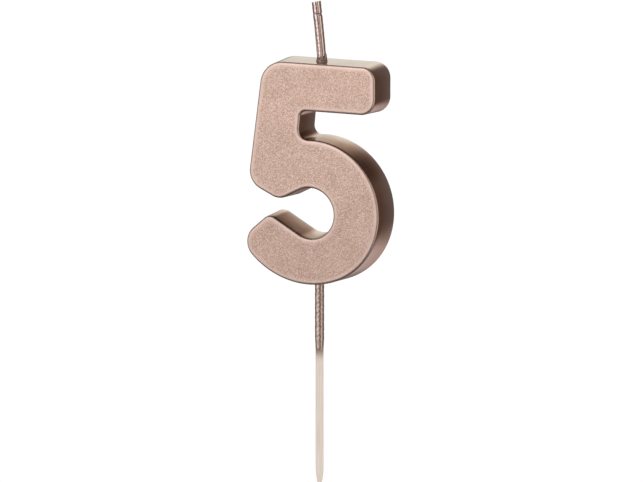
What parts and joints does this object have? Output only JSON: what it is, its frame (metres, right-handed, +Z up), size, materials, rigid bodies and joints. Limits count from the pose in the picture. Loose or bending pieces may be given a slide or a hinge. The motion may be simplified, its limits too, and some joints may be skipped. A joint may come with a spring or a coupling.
{
  "type": "number birthday candle",
  "caption": "Numeral five birthday candle of wax under satin rose-gold lacquer, with a bendable cotton wick and a pointed bamboo pick that pushes into a cake.",
  "frame": {"origin": "on the pick's axis at the lower end of its lacquer, which is the level of the cake's surface", "axes": "+Z up along the pick, +X the numeral's reading direction, -Y out of the front face"},
  "size_m": [0.0455, 0.0108, 0.1512],
  "materials": {
    "paraffin": "cast paraffin wax, ivory, slightly translucent",
    "metallic_lacquer": "rose-gold metallic lacquer, satin with a fine grain on the faces, glossier on the side walls",
    "cotton": "twisted cotton ply",
    "wick_lacquer": "waxed cord under rose-gold lacquer",
    "seal_wax": "wax tinted by the lacquer",
    "bamboo": "bare pale bamboo, lengthwise grain"
  },
  "bodies": {
    "candle": {"wax_numeral": "paraffin", "numeral_lacquer": "metallic_lacquer", "wick_seal": "seal_wax", "pick": "bamboo", "pick_lacquer": "metallic_lacquer", "pick_glue": "seal_wax"},
    "wick": {"wick_coat": "wick_lacquer", "wick_strand_1": "cotton", "wick_strand_2": "cotton", "wick_strand_3": "cotton"}
  },
  "joints": [
    {"name": "wick_bend", "type": "hinge", "parent": "candle", "child": "wick", "pos_m": [0.00042, 0, 0.09232], "axis": [0, 1, 0], "range_deg": [-50, 60], "deforming": ["wick_strand_1", "wick_strand_2", "wick_strand_3"]}
  ]
}
